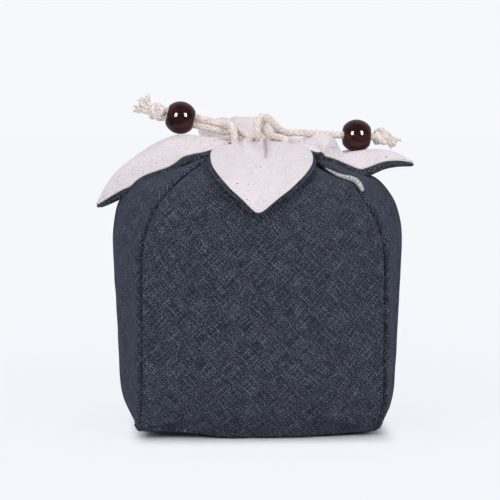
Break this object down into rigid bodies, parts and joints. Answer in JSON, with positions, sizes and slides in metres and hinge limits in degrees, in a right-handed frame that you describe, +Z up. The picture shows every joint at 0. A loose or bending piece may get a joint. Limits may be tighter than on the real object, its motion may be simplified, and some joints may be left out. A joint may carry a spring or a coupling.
{
  "type": "drawstring storage bag",
  "caption": "Padded cube-shaped cloth drawstring bag with four folded petal flaps, cream lining, two drawcords and wooden beads.",
  "frame": {"origin": "centre of the base, on the face that it stands on", "axes": "+Z up, -Y the front that shows in the picture, +X to the right of that front"},
  "size_m": [0.1468, 0.1388, 0.1503],
  "materials": {
    "slate_cloth": "matte heather cotton-linen weave",
    "cream_lining": "matte plain linen weave with dark flecks",
    "wadding": "soft matte fibre",
    "cotton_cord": "matte twisted cotton",
    "dark_wood": "polished dark red-brown"
  },
  "bodies": {
    "root": {"outer_front": "slate_cloth", "outer_right": "slate_cloth", "outer_back": "slate_cloth", "outer_left": "slate_cloth", "outer_base": "slate_cloth", "padding_front": "wadding", "padding_right": "wadding", "padding_back": "wadding", "padding_left": "wadding", "padding_base": "wadding", "lining_front": "cream_lining", "lining_right": "cream_lining", "lining_back": "cream_lining", "lining_left": "cream_lining", "lining_base": "cream_lining", "left_cord_corner_front": "cotton_cord", "left_cord_corner_back": "cotton_cord", "right_cord_corner_front": "cotton_cord", "right_cord_corner_back": "cotton_cord"},
    "yoke_front": {"yoke_front_outer": "slate_cloth", "yoke_front_lining": "cream_lining"},
    "sleeve_front": {"sleeve_front": "slate_cloth", "left_cord_front_run": "cotton_cord", "right_cord_front_run": "cotton_cord"},
    "petal_front": {"petal_front_outer": "slate_cloth", "petal_front_lining": "cream_lining"},
    "yoke_right": {"yoke_right_outer": "slate_cloth", "yoke_right_lining": "cream_lining"},
    "sleeve_right": {"sleeve_right": "slate_cloth", "left_cord_right_run": "cotton_cord", "right_cord_strand_1_inner": "cotton_cord", "right_cord_strand_2_inner": "cotton_cord"},
    "petal_right": {"petal_right_outer": "slate_cloth", "petal_right_lining": "cream_lining"},
    "yoke_back": {"yoke_back_outer": "slate_cloth", "yoke_back_lining": "cream_lining"},
    "sleeve_back": {"sleeve_back": "slate_cloth", "left_cord_back_run": "cotton_cord", "right_cord_back_run": "cotton_cord"},
    "petal_back": {"petal_back_outer": "slate_cloth", "petal_back_lining": "cream_lining"},
    "yoke_left": {"yoke_left_outer": "slate_cloth", "yoke_left_lining": "cream_lining"},
    "sleeve_left": {"sleeve_left": "slate_cloth", "right_cord_left_run": "cotton_cord", "left_cord_strand_1_inner": "cotton_cord", "left_cord_strand_2_inner": "cotton_cord"},
    "petal_left": {"petal_left_outer": "slate_cloth", "petal_left_lining": "cream_lining"},
    "tail_left": {"left_cord_strand_1_tail": "cotton_cord", "left_cord_strand_2_tail": "cotton_cord", "left_cord_knot": "cotton_cord", "left_cord_tassel": "cotton_cord"},
    "bead_left": {"left_cord_bead": "dark_wood"},
    "tail_right": {"right_cord_strand_1_tail": "cotton_cord", "right_cord_strand_2_tail": "cotton_cord", "right_cord_knot": "cotton_cord", "right_cord_tassel": "cotton_cord"},
    "bead_right": {"right_cord_bead": "dark_wood"}
  },
  "joints": [
    {"name": "mouth_open", "type": "hinge", "parent": "root", "child": "yoke_front", "pos_m": [0, -0.0615, 0.106], "axis": [1, 0, 0], "range_deg": [0, 50], "deforming": ["left_cord_corner_front", "left_cord_corner_back", "right_cord_corner_front", "right_cord_corner_back", "left_cord_strand_1_inner", "left_cord_strand_2_inner", "right_cord_strand_1_inner", "right_cord_strand_2_inner"]},
    {"name": "yoke_right_open", "type": "hinge", "parent": "root", "child": "yoke_right", "pos_m": [0.0615, 0, 0.106], "axis": [0, 1, 0], "range_deg": [0, 50]},
    {"name": "yoke_back_open", "type": "hinge", "parent": "root", "child": "yoke_back", "pos_m": [0, 0.0615, 0.106], "axis": [-1, 0, 0], "range_deg": [0, 50]},
    {"name": "yoke_left_open", "type": "hinge", "parent": "root", "child": "yoke_left", "pos_m": [-0.0615, 0, 0.106], "axis": [0, -1, 0], "range_deg": [0, 50]},
    {"name": "sleeve_front_level", "type": "hinge", "parent": "yoke_front", "child": "sleeve_front", "pos_m": [0, -0.0135, 0.1257], "axis": [1, 0, 0], "range_deg": [-12.5, 0]},
    {"name": "sleeve_right_level", "type": "hinge", "parent": "yoke_right", "child": "sleeve_right", "pos_m": [0.0135, 0, 0.1257], "axis": [0, 1, 0], "range_deg": [-12.5, 0]},
    {"name": "sleeve_back_level", "type": "hinge", "parent": "yoke_back", "child": "sleeve_back", "pos_m": [0, 0.0135, 0.1257], "axis": [-1, 0, 0], "range_deg": [-12.5, 0]},
    {"name": "sleeve_left_level", "type": "hinge", "parent": "yoke_left", "child": "sleeve_left", "pos_m": [-0.0135, 0, 0.1257], "axis": [0, -1, 0], "range_deg": [-12.5, 0]},
    {"name": "petal_front_raise", "type": "hinge", "parent": "sleeve_front", "child": "petal_front", "pos_m": [0, -0.018, 0.1285], "axis": [-1, 0, 0], "range_deg": [0, 90]},
    {"name": "petal_right_raise", "type": "hinge", "parent": "sleeve_right", "child": "petal_right", "pos_m": [0.018, 0, 0.1285], "axis": [0, -1, 0], "range_deg": [0, 90]},
    {"name": "petal_back_raise", "type": "hinge", "parent": "sleeve_back", "child": "petal_back", "pos_m": [0, 0.018, 0.1285], "axis": [1, 0, 0], "range_deg": [0, 90]},
    {"name": "petal_left_raise", "type": "hinge", "parent": "sleeve_left", "child": "petal_left", "pos_m": [-0.018, 0, 0.1285], "axis": [0, 1, 0], "range_deg": [0, 90]},
    {"name": "tail_left_lift", "type": "hinge", "parent": "petal_left", "child": "tail_left", "pos_m": [-0.021, 0, 0.13576], "axis": [0, 1, 0], "range_deg": [0, 60]},
    {"name": "tail_right_lift", "type": "hinge", "parent": "petal_right", "child": "tail_right", "pos_m": [0.021, 0, 0.1321], "axis": [0, -1, 0], "range_deg": [0, 60]},
    {"name": "bead_left_slide", "type": "slide", "parent": "tail_left", "child": "bead_left", "axis": [0.9732, 0, -0.2301], "range_m": [0, 0.0055]},
    {"name": "bead_right_slide", "type": "slide", "parent": "tail_right", "child": "bead_right", "axis": [-0.9985, 0, 0.0552], "range_m": [0, 0.007]}
  ],
  "couplings": [
    {"joint": "yoke_right_open", "follows": "mouth_open", "ratio": 1},
    {"joint": "yoke_back_open", "follows": "mouth_open", "ratio": 1},
    {"joint": "yoke_left_open", "follows": "mouth_open", "ratio": 1},
    {"joint": "sleeve_front_level", "follows": "mouth_open", "ratio": -0.25},
    {"joint": "sleeve_right_level", "follows": "mouth_open", "ratio": -0.25},
    {"joint": "sleeve_back_level", "follows": "mouth_open", "ratio": -0.25},
    {"joint": "sleeve_left_level", "follows": "mouth_open", "ratio": -0.25}
  ]
}
